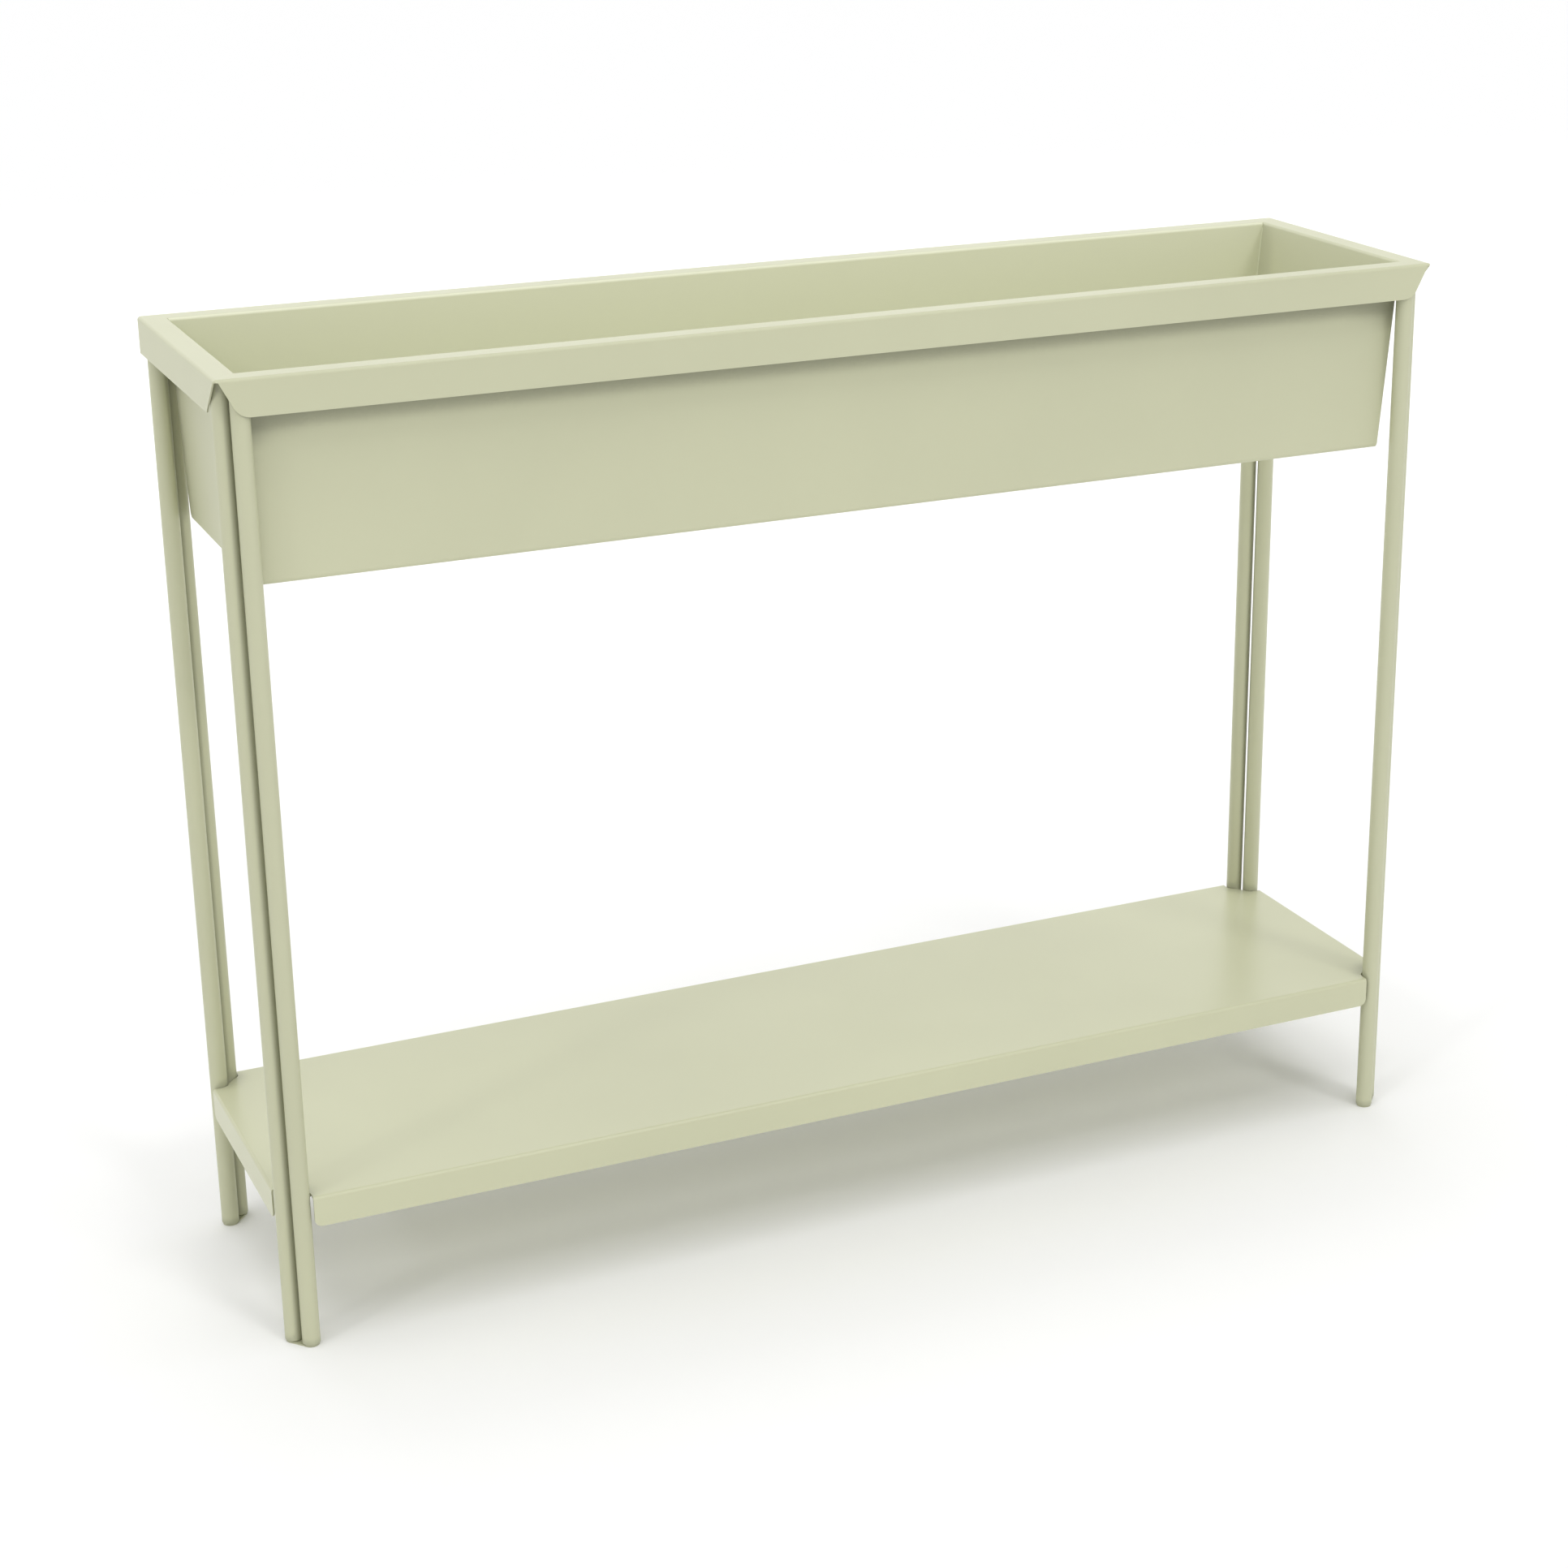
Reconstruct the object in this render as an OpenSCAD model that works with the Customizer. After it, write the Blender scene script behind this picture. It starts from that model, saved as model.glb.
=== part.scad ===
// Raised planter: a folded sheet-steel trough that hangs by its rim on a stand of paired
// steel tubes, with a low sheet-steel shelf. Millimetres, +Z up, +X along the planter.
// The origin is on the ground, under the middle of the planter.

/* [Overall] */
// Length of the trough over its rim
rim_l = 1000; // [700:10:1200]
// Width of the trough over its rim
rim_w = 250; // [220:5:320]
// Height of the rim above the ground
rim_h = 760; // [500:10:900]

/* [Trough] */
// Thickness of the trough's sheet
sheet = 1.2; // [1:0.1:1.5]
// Width of the flat rim
rim_flat = 20; // [19.5:0.5:26]
// Height of the down-turned lip
lip_h = 28; // [24:1:36]
// Radius of the rim's corners, seen from above
corner_r = 3.5; // [3:0.5:8]
// Depth of the trough from the rim to its underside
trough_depth = 155; // [100:1:200]
// How far the left end wall leans inwards over the depth; the long walls are upright
lean_left = 6; // [2:0.5:20]
// How far the right end wall leans inwards over the depth
lean_right = 14; // [2:0.5:20]

/* [Trough lips] */
// How far the long lip's front ends are cut back at the bottom edge
long_lip_cut = 17; // [10:1:22]
// Radius of the long lip's bottom corners
long_lip_r = 13; // [6:1:14]
// How far the end lip's front end is cut back at its bottom edge
end_lip_cut = 28; // [20:1:34]

/* [Stand] */
// Outer diameter of the leg and rail tubes
tube_d = 14; // [12:0.5:14.5]
// Wall thickness of the tubes
tube_wall = 1.2; // [1:0.1:2]
// Step from one tube of a corner pair to the other, along the planter
pair_x = 10.4; // [10.4:0.2:12]
// Step from one tube of a corner pair to the other, across the planter
pair_y = 12.2; // [12:0.2:13]
// Gap between the tubes and the lip around them
lip_gap = 0.3; // [0.2:0.1:0.5]
// Thickness of the foot plates
foot_t = 1.2; // [1:0.2:3]

/* [Shelf] */
// Height of the shelf's top above the ground
shelf_h = 127; // [60:1:300]
// Thickness of the shelf's sheet
shelf_t = 1.5; // [1:0.1:2]
// Height of the shelf's lips
shelf_lip = 25; // [16:1:36]
// Radius of the bottom corners of the shelf's lips
shelf_lip_r = 6; // [3:0.5:8]
// Gap between the ends of the shelf's lips and the legs
shelf_gap = 1.2; // [0.6:0.1:2]

/* [Hidden] */

$fn = 64;
paint = "#c9caac";
half_l = rim_l / 2;
half_w = rim_w / 2;
far = rim_l;
tube_r = tube_d / 2;

// Folds of the trough's sheet: outer radius at the rim, inner radius at the floor
fold_r = 2.5;
floor_r = 3;
// Straight steps along each fold
arc_steps = 8;
lip_bend = [fold_r, -fold_r];
// Inner and outer faces of the upright long walls
wall_in = half_w - rim_flat;
wall_out = wall_in + sheet;
// The cuts of the lips start this far below the rim
cut_drop = 2;
// Angles of the end walls from the upright
tilt_left = atan(lean_left / trough_depth);
tilt_right = atan(lean_right / trough_depth);
// Distance from the end of the planter at which the slant of a long lip would meet the rim
long_lip_start = 2.5;

// Legs: every pair lies across its corner, one tube towards the end of the planter and one
// towards its long side
leg_out = sheet + lip_gap + tube_r;
end_leg = [half_l - leg_out, half_w - leg_out - pair_y];
side_leg = [end_leg[0] - pair_x, end_leg[1] + pair_y];
rest_gap = 0.3;
leg_top = rim_h - sheet - rest_gap;
rail_z = leg_top - tube_r;
leg_chamfer = 0.9;
foot_r = tube_r - 0.8;

// Shelf: flush with the outside of the tubes
shelf_x = end_leg[0] + tube_r;
shelf_y = side_leg[1] + tube_r;
shelf_fold = 2.5;
scallop_r = tube_r + shelf_gap;
scallop_w = tube_r + 0.3;
weld_leg = 3;

// Copies the children to one corner: x and y are -1 or 1
module corner(x, y) {
    scale_x = x < 0 ? 1 : 0;
    scale_y = y < 0 ? 1 : 0;
    mirror([scale_x, 0, 0]) mirror([0, scale_y, 0]) children();
}

module all_corners() {
    for (x = [-1, 1], y = [-1, 1]) corner(x, y) children();
}

// Stands a profile drawn in (distance, height) upright and extrudes it along X or Y
module along_x(length) {
    rotate([90, 0, 90]) linear_extrude(length, center = true) children();
}

module along_y(length) {
    rotate([90, 0, 0]) linear_extrude(length, center = true) children();
}

// Sections of the trough's sheet start at the outside of the lip and the top of the rim.
// The tilt of a wall is its angle from the upright.
function arc(centre, r, from, to) =
    [for (i = [0:arc_steps]) centre + r * [cos(from + (to - from) * i / arc_steps),
        sin(from + (to - from) * i / arc_steps)]];

function flip(points) = [for (i = [len(points) - 1:-1:0]) [-points[i][0], points[i][1]]];

function wall_bend(tilt) = [rim_flat - fold_r * cos(tilt), -fold_r];

function rim_top(tilt) = concat([[0, -lip_h]], arc(lip_bend, fold_r, 180, 90),
    arc(wall_bend(tilt), fold_r, 90, tilt));

function rim_under(tilt) = concat(arc(wall_bend(tilt), fold_r - sheet, tilt, 90),
    arc(lip_bend, fold_r - sheet, 90, 180), [[sheet, -lip_h]]);

// Distance of an end wall's inner face from the middle, at a drop below the rim
function end_face(tilt, drop) =
    half_l - rim_flat - (drop - fold_r * (1 - sin(tilt))) * tan(tilt);

// Section across the channel: lips, flat rims, upright walls and floor, one folded sheet
module channel_section() {
    floor_bend = [rim_flat + floor_r, -trough_depth + sheet + floor_r];
    inner = concat(rim_top(0), arc(floor_bend, floor_r, 180, 270));
    outer = concat(arc(floor_bend, floor_r + sheet, 270, 180), rim_under(0));
    shift = [-half_w, rim_h];
    left_inner = [for (at = inner) at + shift];
    left_outer = [for (at = outer) at + shift];
    polygon(concat(left_inner, flip(left_inner), flip(left_outer), left_outer));
}

// Section of an end panel: lip, flat rim and a wall that runs on below the floor
module end_section(tilt) {
    below = trough_depth + 15;
    foot = [half_l - end_face(tilt, below), -below];
    polygon(concat(rim_top(tilt), [foot, foot - sheet * [cos(tilt), sin(tilt)]],
        rim_under(tilt)));
}

// Everything between the inner faces of the end panels
module inside_ends() {
    above = 40;
    below = trough_depth + 40;
    along_y(far) polygon([[-end_face(tilt_left, -above), rim_h + above],
        [end_face(tilt_right, -above), rim_h + above],
        [end_face(tilt_right, below), rim_h - below],
        [-end_face(tilt_left, below), rim_h - below]]);
}

// The long sides of the rim, out to the mitres at its corners
module between_mitres() {
    neck = half_l - half_w;
    reach = half_w + 10;
    for (side = [0, 1]) mirror([0, side, 0])
        translate([0, 0, rim_h - trough_depth - 20]) linear_extrude(trough_depth + 40)
            polygon([[-neck - wall_out, wall_out], [neck + wall_out, wall_out],
                [neck + reach, reach], [-neck - reach, reach]]);
}

// Cuts a front end of the long lip: a slant, then a rounded bottom corner. The cut stays
// below the flat rim.
module long_lip_cut() {
    bottom = rim_h - lip_h;
    slant = atan((long_lip_cut - long_lip_start) / lip_h);
    foot = half_l - long_lip_cut;
    start = half_l - long_lip_start - cut_drop * tan(slant);
    below = 6;
    tangent = foot - long_lip_r * tan(45 - slant / 2);
    leave = long_lip_r * tan(45 - slant / 2) * [sin(slant), cos(slant)];
    translate([0, -half_w, 0]) along_y(8) {
        polygon([[start, rim_h - cut_drop], [half_l + 20, rim_h - cut_drop],
            [half_l + 20, bottom - below], [foot - below * tan(slant), bottom - below]]);
        difference() {
            polygon([[tangent, bottom], [tangent, bottom - below], [foot + 8, bottom - below],
                [foot, bottom] + leave]);
            translate([tangent, bottom + long_lip_r]) circle(long_lip_r);
        }
    }
}

// Cuts the front end of an end panel's lip to a point
module end_lip_cut() {
    bottom = rim_h - lip_h;
    translate([half_l, 0, 0]) along_x(8)
        polygon([[-half_w + cut_drop * end_lip_cut / lip_h, rim_h - cut_drop],
            [-half_w + end_lip_cut, bottom], [-half_w + end_lip_cut, bottom - 10],
            [-half_w - 10, bottom - 10], [-half_w - 10, rim_h - cut_drop]]);
}

// Rounds a front corner of the flat rim
module front_corner_cut() {
    translate([half_l - corner_r, -half_w + corner_r, rim_h - lip_h - 5]) mirror([0, 1, 0])
        linear_extrude(lip_h + 10) difference() {
            square(2 * corner_r);
            circle(corner_r);
        }
}

// Clears a back corner of the rim for its rounded piece
module back_corner_cut() {
    translate([half_l - corner_r, half_w - corner_r, rim_h - lip_h - 5])
        cube([2 * corner_r, 2 * corner_r, lip_h + 10]);
}

// Rounded back corner of the rim: the lip, its fold and the flat rim swept round
module back_corner() {
    lip = concat([[0, -lip_h]], arc(lip_bend, fold_r, 180, 90), [[corner_r, 0]],
        [[corner_r, -sheet]], arc(lip_bend, fold_r - sheet, 90, 180), [[sheet, -lip_h]]);
    translate([half_l - corner_r, half_w - corner_r, rim_h]) rotate_extrude(angle = 90)
        polygon([for (at = lip) [corner_r - at[0], at[1]]]);
}

module trough_channel() color(paint) {
    difference() {
        intersection() {
            along_x(rim_l) channel_section();
            union() {
                inside_ends();
                between_mitres();
            }
        }
        for (side = [0, 1]) mirror([side, 0, 0]) {
            long_lip_cut();
            front_corner_cut();
            back_corner_cut();
        }
    }
}

// Right end panel. Its bottom corners follow the folds of the channel.
module end_panel(tilt) {
    floor_bend = [wall_in - floor_r, rim_h - trough_depth + sheet + floor_r];
    difference() {
        translate([half_l, 0, rim_h]) rotate([90, 0, 0]) mirror([1, 0])
            linear_extrude(rim_w, center = true) end_section(tilt);
        translate([half_l, 0, rim_h - trough_depth - 10]) cube([rim_w, rim_w, 20], center = true);
        between_mitres();
        end_lip_cut();
        front_corner_cut();
        back_corner_cut();
        for (side = [0, 1]) mirror([0, side, 0])
            translate([half_l - 30, 0, 0]) along_x(40) translate(floor_bend)
                difference() {
                    translate([0, -10]) square(10);
                    circle(floor_r + sheet);
                }
    }
    back_corner();
}

module trough_end_right() color(paint) end_panel(tilt_right);

module trough_end_left() color(paint) mirror([1, 0, 0]) end_panel(tilt_left);

// Round tube standing on a foot plate, with chamfered ends
module leg(at) {
    c = leg_chamfer;
    bore = tube_r - tube_wall;
    translate([at[0], at[1], 0])
        rotate_extrude()
            polygon([[bore, foot_t], [tube_r - c, foot_t], [tube_r, foot_t + c],
                [tube_r, leg_top - c], [tube_r - c, leg_top], [bore, leg_top]]);
}

module leg_side(x, y) color(paint) corner(x, y) leg(side_leg);

module leg_end(x, y) color(paint) corner(x, y) leg(end_leg);

// Tube between two legs, its ends coped to fit round them
module rail(from, to) {
    run = norm(to - from);
    turn = atan2(to[1] - from[1], to[0] - from[0]);
    difference() {
        translate([from[0], from[1], rail_z]) rotate([0, 90, turn]) difference() {
            cylinder(h = run, r = tube_r);
            translate([0, 0, -1]) cylinder(h = run + 2, r = tube_r - tube_wall);
        }
        for (end = [from, to]) translate([end[0], end[1], rail_z - tube_d])
            cylinder(h = 2 * tube_d, r = tube_r);
    }
}

module rail_long(y) color(paint) rail([-side_leg[0], y * side_leg[1]], [side_leg[0], y * side_leg[1]]);

module rail_end(x) color(paint) rail([x * end_leg[0], -end_leg[1]], [x * end_leg[0], end_leg[1]]);

// Plan outline with round ends that takes in both tubes of a pair
module pair_outline(end_r, half_width) {
    translate(end_leg) circle(end_r);
    translate(side_leg) circle(end_r);
    translate((end_leg + side_leg) / 2) rotate(-atan(pair_y / pair_x))
        square([norm(end_leg - side_leg), 2 * half_width], center = true);
}

module foot_plate(x, y) color(paint) corner(x, y) linear_extrude(foot_t) pair_outline(foot_r, foot_r);

// Cross-section of the shelf's outside or inside: a rectangle with rounded top corners
module shelf_section(half, drop, r) {
    for (side = [-1, 1]) translate([side * (half - r), shelf_h - drop - r]) circle(r);
    translate([-half + r, shelf_h - shelf_lip - 1]) square([2 * (half - r), shelf_lip + 1 - drop]);
    translate([-half, shelf_h - shelf_lip - 1]) square([2 * half, shelf_lip + 1 - drop - r]);
}

module shelf_block(inset, r) {
    intersection() {
        along_x(far * 1.2) shelf_section(shelf_y - inset, inset, r);
        along_y(far) shelf_section(shelf_x - inset, inset, r);
    }
}

// Opening cut from a corner of the shelf around its pair of legs
module scallop() {
    translate([0, 0, shelf_h - shelf_lip - 5]) linear_extrude(shelf_lip + 10) {
        pair_outline(scallop_r, scallop_w);
        translate([side_leg[0] - scallop_r, side_leg[1]]) square(40);
        translate([end_leg[0], end_leg[1] - scallop_r]) square(40);
        polygon([end_leg, end_leg + [30, 0], side_leg + [30, 30], side_leg + [0, 30], side_leg]);
    }
}

// Rounds the bottom corner of a lip that ends at the given distance along its side
module lip_corner(end) {
    bottom = shelf_h - shelf_lip;
    translate([end - shelf_lip_r, bottom]) difference() {
        translate([0, -2]) square([shelf_lip_r + 2, shelf_lip_r + 2]);
        translate([0, shelf_lip_r]) circle(shelf_lip_r);
    }
}

module shelf() color(paint) {
    difference() {
        shelf_block(0, shelf_fold);
        shelf_block(shelf_t, shelf_fold - shelf_t);
        translate([0, 0, shelf_h - shelf_lip - 5]) cube([far * 1.2, rim_w, 10], center = true);
        all_corners() scallop();
        for (x = [0, 1]) mirror([x, 0, 0]) {
            along_y(rim_w + 20) lip_corner(side_leg[0] - scallop_r);
        }
        for (y = [0, 1]) mirror([0, y, 0]) {
            along_x(far * 1.2) lip_corner(end_leg[1] - scallop_r);
        }
    }
}

// Weld fillet under the shelf on the inner side of each leg
module shelf_welds() color(paint) {
    all_corners() for (at = [end_leg, side_leg])
        translate([at[0], at[1], shelf_h - shelf_t]) rotate(195) rotate_extrude(angle = 60)
            polygon([[tube_r, 0], [tube_r + weld_leg, 0], [tube_r, -weld_leg]]);
}

trough_channel();
trough_end_left();
trough_end_right();
leg_side(-1, -1);  // leg_front_left_side
leg_end(-1, -1);  // leg_front_left_end
leg_side(1, -1);  // leg_front_right_side
leg_end(1, -1);  // leg_front_right_end
leg_side(-1, 1);  // leg_back_left_side
leg_end(-1, 1);  // leg_back_left_end
leg_side(1, 1);  // leg_back_right_side
leg_end(1, 1);  // leg_back_right_end
rail_long(-1);  // rail_front
rail_long(1);  // rail_back
rail_end(-1);  // rail_left
rail_end(1);  // rail_right
foot_plate(-1, -1);  // foot_plate_front_left
foot_plate(1, -1);  // foot_plate_front_right
foot_plate(-1, 1);  // foot_plate_back_left
foot_plate(1, 1);  // foot_plate_back_right
shelf();
shelf_welds();
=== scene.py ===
"""Raised planter on legs: looks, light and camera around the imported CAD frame. Metres, +Z up."""

import math
import random

import bmesh
import bpy
from mathutils import Matrix, Vector


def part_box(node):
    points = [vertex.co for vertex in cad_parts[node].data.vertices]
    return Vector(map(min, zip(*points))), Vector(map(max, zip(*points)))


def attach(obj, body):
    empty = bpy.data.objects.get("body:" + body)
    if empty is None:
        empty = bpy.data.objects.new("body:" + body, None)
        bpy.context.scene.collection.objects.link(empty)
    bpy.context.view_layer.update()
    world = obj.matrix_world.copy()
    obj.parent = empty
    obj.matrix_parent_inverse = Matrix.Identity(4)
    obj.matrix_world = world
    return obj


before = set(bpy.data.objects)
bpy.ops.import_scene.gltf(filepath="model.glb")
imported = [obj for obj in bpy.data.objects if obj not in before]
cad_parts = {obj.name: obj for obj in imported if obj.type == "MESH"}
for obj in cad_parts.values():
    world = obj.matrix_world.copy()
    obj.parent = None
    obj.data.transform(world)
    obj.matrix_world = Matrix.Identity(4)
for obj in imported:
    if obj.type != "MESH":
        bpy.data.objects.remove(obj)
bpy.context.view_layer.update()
scene = bpy.context.scene

# Camera: in front of the planter's left end, above its rim. Angles are in degrees.
EYE = (-0.9401, -2.1795, 1.2148)
PITCH = -19.236
YAW = -25.202
ROLL = -0.184
LENS = 69.77
SENSOR = 36.0
SHIFT = (-0.0800, -0.0306)
NEAREST = 0.05
FARTHEST = 60.0

# Linear colour of the pale sage coat, the same on every part. The tubes are a shade darker as
# painted shade, and the shelf a shade paler as painted light.
SAGE = (0.558, 0.566, 0.389)
TUBE_PAINTED_SHADE = 0.97
SHELF_PAINTED_LIGHT = 1.03
COAT_IOR = 1.45
# Slow changes of tone across the coat, and the noise values that they run between
TONE_SCALE = 5.0
TONE_NOISE = (0.3, 0.7)
TONE_DARK = 0.975
TONE_LIGHT = 1.03
# Edges, within this radius, where the coat is rubbed paler and smoother in patches. An edge
# shows as the cosine between its rounded and its true normal.
EDGE = 0.0006
EDGE_SAMPLES = 4
EDGE_COSINES = (0.995, 0.80)
RUBBED = 1.10
RUBBED_LIFT = 0.01
RUBBED_SMOOTHER = 0.08
PATCH_SCALE = 38.0
PATCH_DETAIL = 3.0
PATCH_ROUGH = 0.6
PATCH_NOISE = (0.35, 0.65)
PATCH_WEAR = (0.2, 1.0)
# Sheen: how far the roughness strays to either side
SHEEN_SCALE = 9.0
SHEEN_NOISE = (0.25, 0.75)
SMOOTHER = 0.025
ROUGHER = 0.03
# Orange peel
PEEL_STRENGTH = 0.08
PEEL_DEPTH = 0.00012
# Faces turned towards the middle of the planter get painted light: paler and a little bluer.
# The end walls lie far out, so a small weight gives them about half as much as the long walls.
END_WEIGHT = 0.09
FACING = (-0.02, -0.06)
INNER_LIGHT_BLUE = 1.12
INNER_LIGHT_LIFT = 0.01
# Painted shade grows as a recess closes, from the first share of open space to the second. On the
# outside of the trough it fades out between these drops below the lip.
OPENNESS = (0.80, 0.73)
OPENNESS_SAMPLES = 12
PAINTED_SHADE_FULL = 0.012
PAINTED_SHADE_END = 0.030

# The trough's sheet: thickness, flat rim, lip height, and the folds at the rim and the floor
SHEET = 0.0012
RIM_FLAT = 0.020
LIP = 0.028
RIM_FOLD = 0.0025
FLOOR_FOLD = 0.003

# Weld beads: distance between cross-sections, and the length and height of one ripple
BEAD_STEP = 0.0012
RIPPLE = 0.0042
RIPPLE_HEIGHT = 0.10
# How much a bead's size wanders, and how much of the wander is new at each step
WANDER = 0.35
NEW_WANDER = 0.15
# The ends taper down to this share of the size over this many steps
TAPER_END = 0.35
TAPER_STEPS = 3.0
# How far a bead's root sinks into the metal, the share of that for its face, and how hollow
# the face is
SINK = 0.00015
FACE_SINK = 0.5
HOLLOW = 0.38
FACE_STEPS = 6
# Leg lengths of the beads
SEAM_LEG = 0.0009
FLOOR_LEG = 0.0012
RAIL_LEG = 0.0013
# Share of the height of an end wall at which its upright seams start and stop
SEAM_START = 0.01
SEAM_STOP = 0.965
# At the floor's inner face an end wall is this much further out than at its foot
FLOOR_SEAM_OUT = 0.0001
# A rail's bead runs round the tube from a little above its middle to below it, in degrees
RAIL_TURN = (10.0, -110.0)
RAIL_STEPS = 26

# Pale floor
FLOOR_HALF = 14.0
FLOOR_COLOUR = (0.92, 0.92, 0.92, 1.0)
FLOOR_ROUGH = 0.9
# Sky: white at the horizon, softer overhead. The heights are sines of the angle above it.
SKY_COLOUR = (1.0, 1.0, 1.0, 1.0)
SKY_HEIGHTS = (0.02, 0.38)
SKY_STRENGTHS = (1.0, 0.54)
# Suns, by name: direction, strength, spread in degrees
SUNS = {
    "front": ((-0.30, 0.78, -0.62), 0.42, 12.0),
    "side": ((0.80, 0.42, -0.62), 0.20, 6.0),
    "overhead": ((0.05, 0.10, -1.0), 1.34, 60.0),
}
# Large light behind the planter
BACK_LIGHT = (0.6, 4.4, 2.2)
BACK_TARGET = (0.0, 0.0, 0.3)
BACK_SIZE = (6.0, 3.0)
BACK_POWER = 50.0

UP = Vector((0.0, 0.0, 1.0))


def add_camera():
    data = bpy.data.cameras.new("camera")
    data.lens = LENS
    data.sensor_width = SENSOR
    data.shift_x, data.shift_y = SHIFT
    data.clip_start, data.clip_end = NEAREST, FARTHEST
    camera = bpy.data.objects.new("camera", data)
    turn = Matrix.Rotation(math.radians(YAW), 4, "Z")
    tilt = Matrix.Rotation(math.radians(90.0 + PITCH), 4, "X")
    roll = Matrix.Rotation(math.radians(ROLL), 4, "Z")
    camera.matrix_world = Matrix.Translation(EYE) @ turn @ tilt @ roll
    scene.collection.objects.link(camera)
    scene.camera = camera


def shade(colour, factor, lift=0.0):
    """The colour made darker or lighter, as a node's colour."""
    return [min(1.0, c * factor + lift) for c in colour] + [1.0]


class Coating:
    """The node tree of one material, with the masks that a powder coat is mixed from."""

    def __init__(self, name, seed):
        self.material = bpy.data.materials.new(name)
        self.material.use_nodes = True
        self.tree = self.material.node_tree
        self.seed = seed
        place = self.add("TexCoord", {})
        self.position = place.outputs["Object"]
        self.normal = place.outputs["Normal"]

    def fill(self, node, inputs):
        """Sets a node's inputs, by name or index, to values or to other nodes' outputs."""
        for key, value in inputs.items():
            if isinstance(value, bpy.types.NodeSocket):
                self.tree.links.new(value, node.inputs[key])
            else:
                node.inputs[key].default_value = value

    def add(self, kind, inputs, **settings):
        node = self.tree.nodes.new("ShaderNode" + kind)
        for setting, value in settings.items():
            setattr(node, setting, value)
        self.fill(node, inputs)
        return node

    def noise(self, scale, detail=2.0, rough=0.5):
        inputs = {"Vector": self.position, "W": self.seed, "Scale": scale, "Detail": detail,
                  "Roughness": rough}
        return self.add("TexNoise", inputs, noise_dimensions="4D").outputs["Fac"]

    def ramp(self, source, span, result=(0.0, 1.0)):
        """Maps a span of the source to a span of results, and holds it at both ends."""
        inputs = {"Value": source, "From Min": span[0], "From Max": span[1],
                  "To Min": result[0], "To Max": result[1]}
        return self.add("MapRange", inputs).outputs["Result"]

    def multiply(self, a, b):
        return self.add("Math", {0: a, 1: b}, operation="MULTIPLY").outputs[0]

    def dot(self, a, b):
        return self.add("VectorMath", {0: a, 1: b}, operation="DOT_PRODUCT").outputs["Value"]

    # A Mix node has its number sockets at 2 and 3, and its colour sockets at 6 and 7
    def mix_colours(self, factor, a, b):
        return self.add("Mix", {0: factor, 6: a, 7: b}, data_type="RGBA").outputs[2]

    def mix_values(self, factor, a, b):
        return self.add("Mix", {0: factor, 2: a, 3: b}, data_type="FLOAT").outputs[0]

    def wear(self):
        """Patches along the edges, found where a slightly rounded normal leaves the true one."""
        rounded = self.add("Bevel", {"Radius": EDGE}, samples=EDGE_SAMPLES).outputs["Normal"]
        true = self.add("NewGeometry", {}).outputs["Normal"]
        edge = self.ramp(self.dot(rounded, true), EDGE_COSINES)
        patch = self.noise(PATCH_SCALE, PATCH_DETAIL, PATCH_ROUGH)
        return self.multiply(edge, self.ramp(patch, PATCH_NOISE, PATCH_WEAR))

    def recess_shade_mask(self, reach, lip_edge):
        """Mask for painted shade: recesses no wider than the reach; with a lip's edge given, only
        close below it.
        """
        openness = self.add("AmbientOcclusion", {"Distance": reach}, samples=OPENNESS_SAMPLES)
        recess = self.ramp(openness.outputs["AO"], OPENNESS)
        if lip_edge is None:
            return recess
        height = self.add("SeparateXYZ", {"Vector": self.position}).outputs["Z"]
        below_lip = self.ramp(height, (lip_edge - PAINTED_SHADE_END, lip_edge - PAINTED_SHADE_FULL))
        return self.multiply(recess, below_lip)

    def facing_middle(self):
        """Mask for painted light: faces turned towards the middle of the planter."""
        outwards = self.add("VectorMath", {0: self.position, 1: (END_WEIGHT, 1.0, 0.0)},
                            operation="MULTIPLY").outputs["Vector"]
        return self.ramp(self.dot(outwards, self.normal), FACING)


def powder_coat(name, colour, rough, grain, seed, recess_shade, reach, inner_light=None, lip_edge=None):
    """Satin powder coat: orange peel, patchy sheen, rubbed edges and painted shade in the recesses.

    The recess shade is painted shade: how bright the coat is in recesses, up to the reach in size.
    The inner light is painted light: how bright the faces are that turn towards the middle of the
    planter. Both are shares of the coat's colour. With a lip's edge given, the painted shade lies
    only close below it.
    """
    coat = Coating(name, seed)
    tone = coat.ramp(coat.noise(TONE_SCALE), TONE_NOISE)
    base = coat.mix_colours(tone, shade(colour, TONE_DARK), shade(colour, TONE_LIGHT))
    # Painted shade: the coat is darkened in its recesses, and on the trough only just under the
    # lips
    base = coat.mix_colours(coat.recess_shade_mask(reach, lip_edge), base, shade(colour, recess_shade))
    # Painted light: faces towards the middle of the planter are made paler and a little bluer
    if inner_light is not None:
        lit_inside = shade(colour, inner_light, INNER_LIGHT_LIFT)
        lit_inside[2] = colour[2] * inner_light * INNER_LIGHT_BLUE
        base = coat.mix_colours(coat.facing_middle(), base, lit_inside)
    worn = coat.wear()
    sheen = coat.ramp(coat.noise(SHEEN_SCALE), SHEEN_NOISE, (rough - SMOOTHER, rough + ROUGHER))
    peel = coat.add("Bump", {"Strength": PEEL_STRENGTH, "Distance": PEEL_DEPTH,
                             "Height": coat.noise(grain)})
    coat.fill(coat.tree.nodes["Principled BSDF"], {
        "Metallic": 0.0,
        "IOR": COAT_IOR,
        "Base Color": coat.mix_colours(worn, base, shade(colour, RUBBED, RUBBED_LIFT)),
        "Roughness": coat.mix_values(worn, sheen, rough - RUBBED_SMOOTHER),
        "Normal": peel.outputs["Normal"],
    })
    return coat.material


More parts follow.
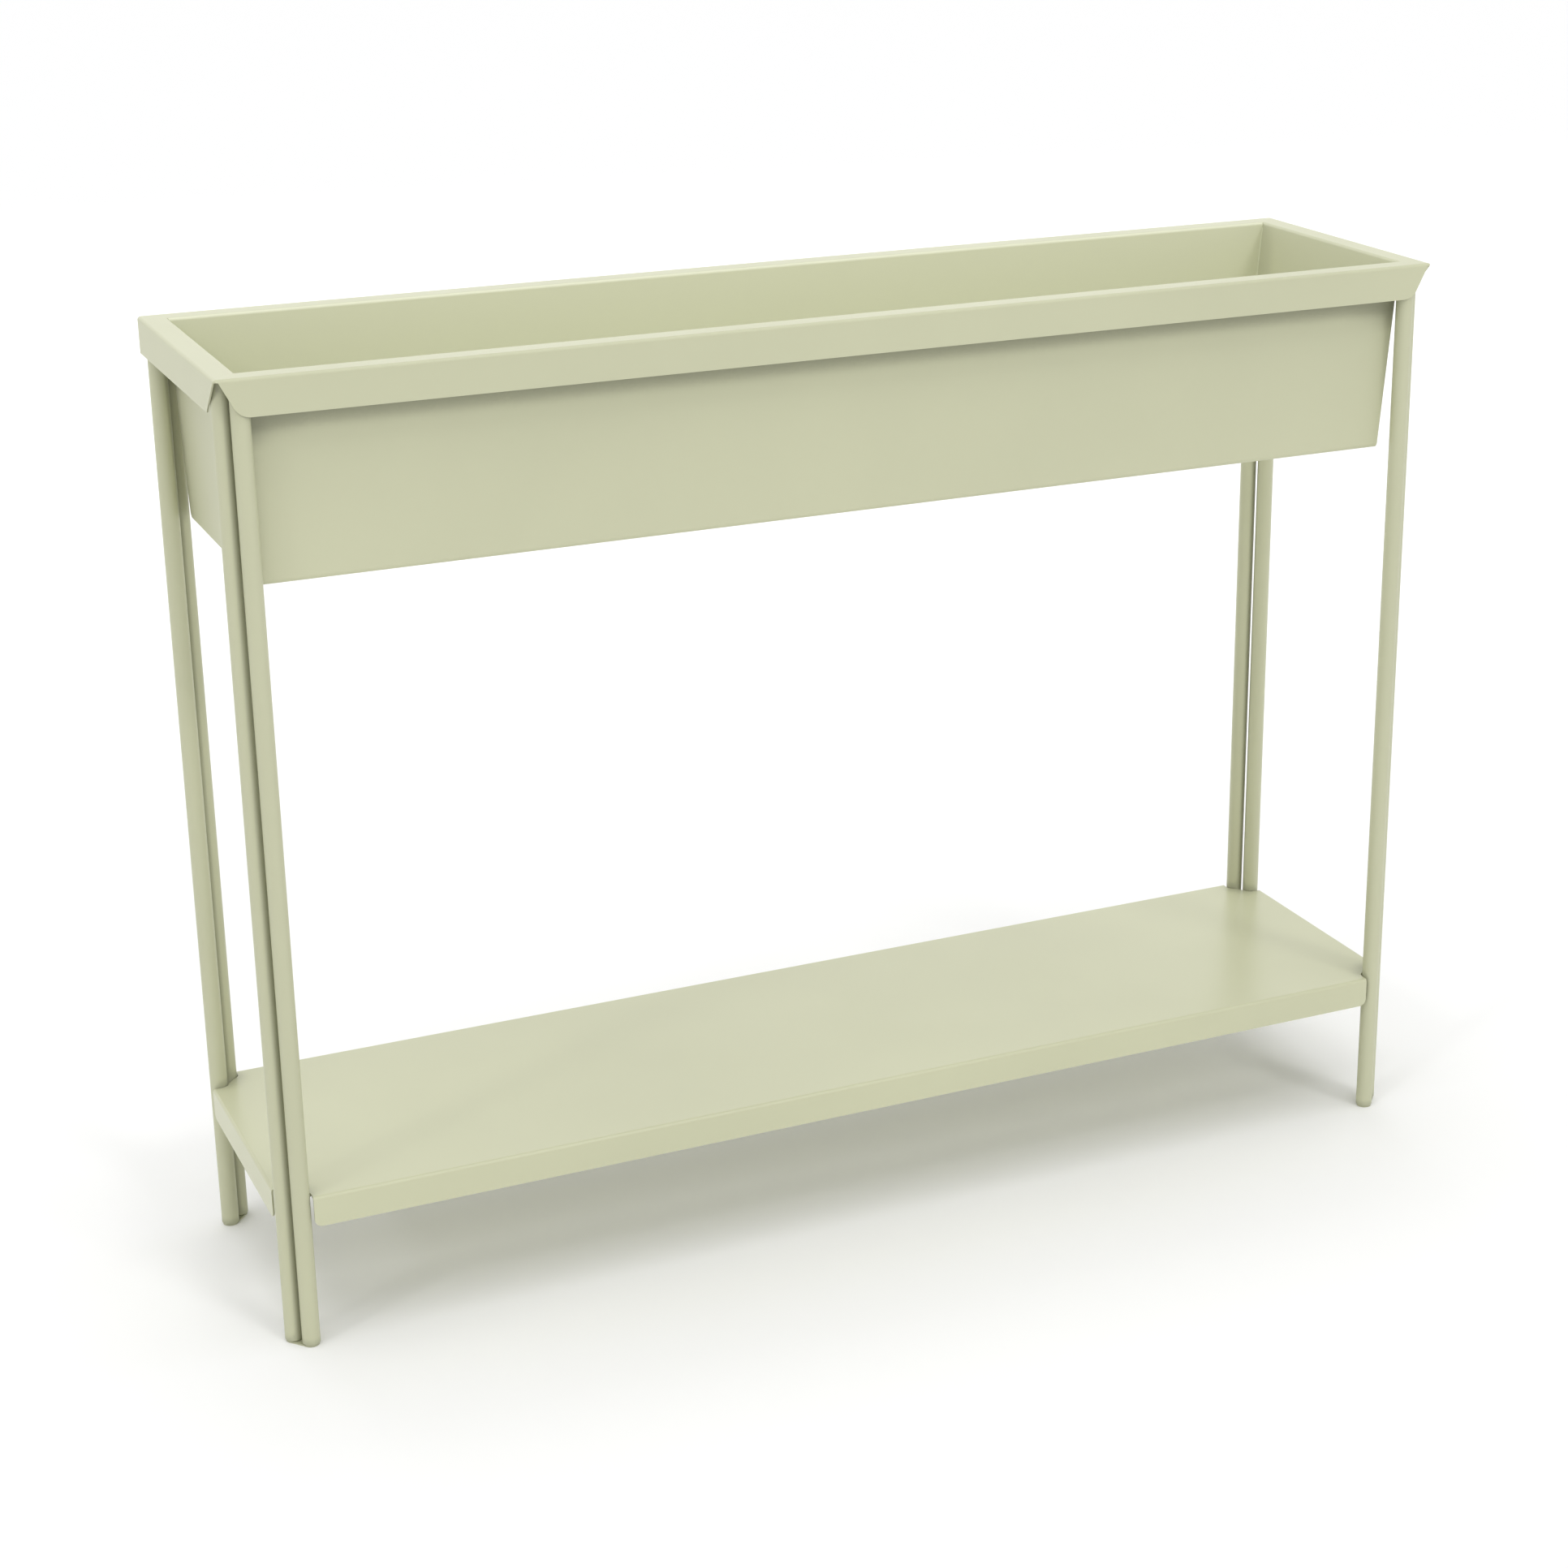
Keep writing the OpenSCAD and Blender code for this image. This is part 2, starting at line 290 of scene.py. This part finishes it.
def coat_all():
    """Coats every CAD piece. Returns the coats of the trough and of the tubes."""
    rim_top = max(corner[2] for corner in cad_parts["trough_channel"].bound_box)
    # Painted shade darkens each coat in its recesses, on the trough only just under its lips. The
    # trough's inner faces get painted light.
    trough = powder_coat("coat_trough", SAGE, rough=0.42, grain=300.0, seed=1.3,
                         recess_shade=0.60, reach=0.045, inner_light=1.38, lip_edge=rim_top - LIP)
    # The tubes' coat is a shade darker as painted shade, the shelf's a shade paler as painted light
    tube = powder_coat("coat_tube", [TUBE_PAINTED_SHADE * c for c in SAGE], rough=0.40, grain=340.0,
                       seed=2.6, recess_shade=0.80, reach=0.012)
    shelf = powder_coat("coat_shelf", [SHELF_PAINTED_LIGHT * c for c in SAGE], rough=0.30, grain=300.0,
                        seed=3.7, recess_shade=0.80, reach=0.03)
    for name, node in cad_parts.items():
        coat = trough if name.startswith("trough") else shelf if name.startswith("shelf") else tube
        node.data.materials.clear()
        node.data.materials.append(coat)
    return trough, tube


def bead_sections(path, leg, chance):
    """Cross-sections of a rippled fillet, at each (point, away along one face, away along the
    other face) of a path."""
    start = chance.uniform(0.0, RIPPLE)
    travelled = 0.0
    wander = 0.0
    sections = []
    for index, (point, one, other) in enumerate(path):
        if index:
            travelled += (point - path[index - 1][0]).length
        wander = (1.0 - NEW_WANDER) * wander + NEW_WANDER * chance.uniform(-1.0, 1.0)
        ripple = RIPPLE_HEIGHT * abs(math.sin(math.pi * (travelled + start) / RIPPLE))
        to_end = min(index, len(path) - 1 - index) / TAPER_STEPS
        taper = min(1.0, TAPER_END + (1.0 - TAPER_END) * to_end)
        reach = leg * (1.0 + ripple + WANDER * wander) * taper
        sunk = -SINK * (one + other)
        section = [point + sunk]
        for step in range(FACE_STEPS + 1):
            turn = math.pi / 2.0 * step / FACE_STEPS
            out = reach * (1.0 - HOLLOW * math.sin(2.0 * turn))
            section.append(point + out * (math.cos(turn) * one + math.sin(turn) * other)
                           + sunk * FACE_SINK)
        sections.append(section)
    return sections


def bead(name, body, coat, path, leg, seed):
    """Adds a weld bead along a path, riding on a body."""
    mesh = bmesh.new()
    rings = [[mesh.verts.new(at) for at in section]
             for section in bead_sections(path, leg, random.Random(seed))]
    for last, following in zip(rings, rings[1:]):
        for i in range(len(last)):
            j = (i + 1) % len(last)
            mesh.faces.new((last[i], last[j], following[j], following[i]))
    mesh.faces.new(rings[0])
    mesh.faces.new(list(reversed(rings[-1])))
    bmesh.ops.recalc_face_normals(mesh, faces=mesh.faces)
    data = bpy.data.meshes.new(name)
    mesh.to_mesh(data)
    mesh.free()
    for face in data.polygons:
        face.use_smooth = True
    data.materials.append(coat)
    piece = bpy.data.objects.new(name, data)
    scene.collection.objects.link(piece)
    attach(piece, body)


def straight(start, end, one, other):
    """Path of a bead along a straight seam."""
    steps = max(2, round((end - start).length / BEAD_STEP))
    return [(start.lerp(end, i / steps), one, other) for i in range(steps + 1)]


def trough_beads(coat):
    """Seams between the end panels and the channel, inside the trough."""
    for side, label in ((1, "right"), (-1, "left")):
        low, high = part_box("trough_end_" + label)
        inner_y = high[1] - RIM_FLAT
        foot_x = low[0] if side > 0 else high[0]
        top_x = high[0] - RIM_FLAT if side > 0 else low[0] + RIM_FLAT
        top = Vector((top_x, 0.0, high[2] - RIM_FOLD))
        foot = Vector((foot_x, 0.0, low[2]))
        away = Vector((-side, 0.0, 0.0))
        for y, place in ((inner_y, "back"), (-inner_y, "front")):
            across = Vector((0.0, y, 0.0))
            inward = Vector((0.0, -math.copysign(1.0, y), 0.0))
            seam = straight(top.lerp(foot, SEAM_START) + across,
                            top.lerp(foot, SEAM_STOP) + across, away, inward)
            bead("weld_seam_%s_%s" % (label, place), "trough", coat, seam, SEAM_LEG,
                 "%s %s" % (label, place))
        reach = Vector((0.0, inner_y - FLOOR_FOLD, 0.0))
        middle = Vector((foot_x + side * FLOOR_SEAM_OUT, 0.0, low[2] + SHEET))
        bead("weld_floor_seam_" + label, "trough", coat,
             straight(middle - reach, middle + reach, away, UP), FLOOR_LEG, label)


def round_rail(axis, radius, out, inner):
    """Path of a bead round the inner and lower side of a rail, against the leg at its end.
    Axis is where the rail's axis meets the leg's axis, and out points along the rail."""
    first, last = (math.radians(turn) for turn in RAIL_TURN)
    path = []
    for i in range(RAIL_STEPS + 1):
        turn = first + (last - first) * i / RAIL_STEPS
        off_rail = inner * math.cos(turn) + UP * math.sin(turn)
        # The leg is as thick as the rail, so its surface curves back by the same circle
        across = radius * math.cos(turn)
        back = math.sqrt(max(0.0, radius * radius - across * across))
        path.append((axis + radius * off_rail - out * back, -out, off_rail.normalized()))
    return path


def rail_beads(coat):
    """Welds at both ends of each rail."""
    for rail, ends in (("front", ("left", "right")), ("back", ("left", "right")),
                       ("left", ("front", "back")), ("right", ("front", "back"))):
        low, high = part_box("rail_" + rail)
        middle = (Vector(low) + Vector(high)) / 2.0
        radius = (high[2] - low[2]) / 2.0
        along = 0 if rail in ("front", "back") else 1
        for end, place in zip((-1, 1), ends):
            axis, out, inner = middle.copy(), Vector(), Vector()
            axis[along] = end * high[along]
            out[along] = end
            inner[1 - along] = -math.copysign(1.0, middle[1 - along])
            bead("weld_rail_%s_%s" % (rail, place), "stand", coat,
                 round_rail(axis, radius, out, inner), RAIL_LEG, rail + place)


def add_floor():
    mesh = bpy.data.meshes.new("floor")
    corners = [(x * FLOOR_HALF, y * FLOOR_HALF, 0) for x, y in ((-1, -1), (1, -1), (1, 1), (-1, 1))]
    mesh.from_pydata(corners, [], [(0, 1, 2, 3)])
    floor = bpy.data.objects.new("floor", mesh)
    scene.collection.objects.link(floor)
    material = bpy.data.materials.new("floor")
    material.use_nodes = True
    shader = material.node_tree.nodes["Principled BSDF"]
    shader.inputs["Base Color"].default_value = FLOOR_COLOUR
    shader.inputs["Roughness"].default_value = FLOOR_ROUGH
    mesh.materials.append(material)


def add_light(name, data, towards, place=(0.0, 0.0, 0.0)):
    light = bpy.data.objects.new(name, data)
    light.location = place
    light.rotation_euler = Vector(towards).to_track_quat("-Z", "Y").to_euler()
    scene.collection.objects.link(light)


def light_sky():
    world = bpy.data.worlds.new("studio")
    scene.world = world
    world.use_nodes = True
    nodes, links = world.node_tree.nodes, world.node_tree.links
    background = nodes["Background"]
    background.inputs["Color"].default_value = SKY_COLOUR
    place = nodes.new("ShaderNodeTexCoord")
    height = nodes.new("ShaderNodeSeparateXYZ")
    links.new(place.outputs["Generated"], height.inputs["Vector"])
    fade = nodes.new("ShaderNodeMapRange")
    fade.inputs["From Min"].default_value, fade.inputs["From Max"].default_value = SKY_HEIGHTS
    fade.inputs["To Min"].default_value, fade.inputs["To Max"].default_value = SKY_STRENGTHS
    links.new(height.outputs["Z"], fade.inputs["Value"])
    links.new(fade.outputs["Result"], background.inputs["Strength"])


def light_studio():
    light_sky()
    for name, (towards, strength, spread) in SUNS.items():
        sun = bpy.data.lights.new(name, "SUN")
        sun.energy = strength
        sun.angle = math.radians(spread)
        add_light(name, sun, towards)
    back = bpy.data.lights.new("back", "AREA")
    back.shape = "RECTANGLE"
    back.size, back.size_y = BACK_SIZE
    back.energy = BACK_POWER
    add_light("back", back, Vector(BACK_TARGET) - Vector(BACK_LIGHT), BACK_LIGHT)
    scene.view_settings.view_transform = "Standard"


add_camera()
trough_coat, tube_coat = coat_all()
trough_beads(trough_coat)
rail_beads(tube_coat)
add_floor()
light_studio()
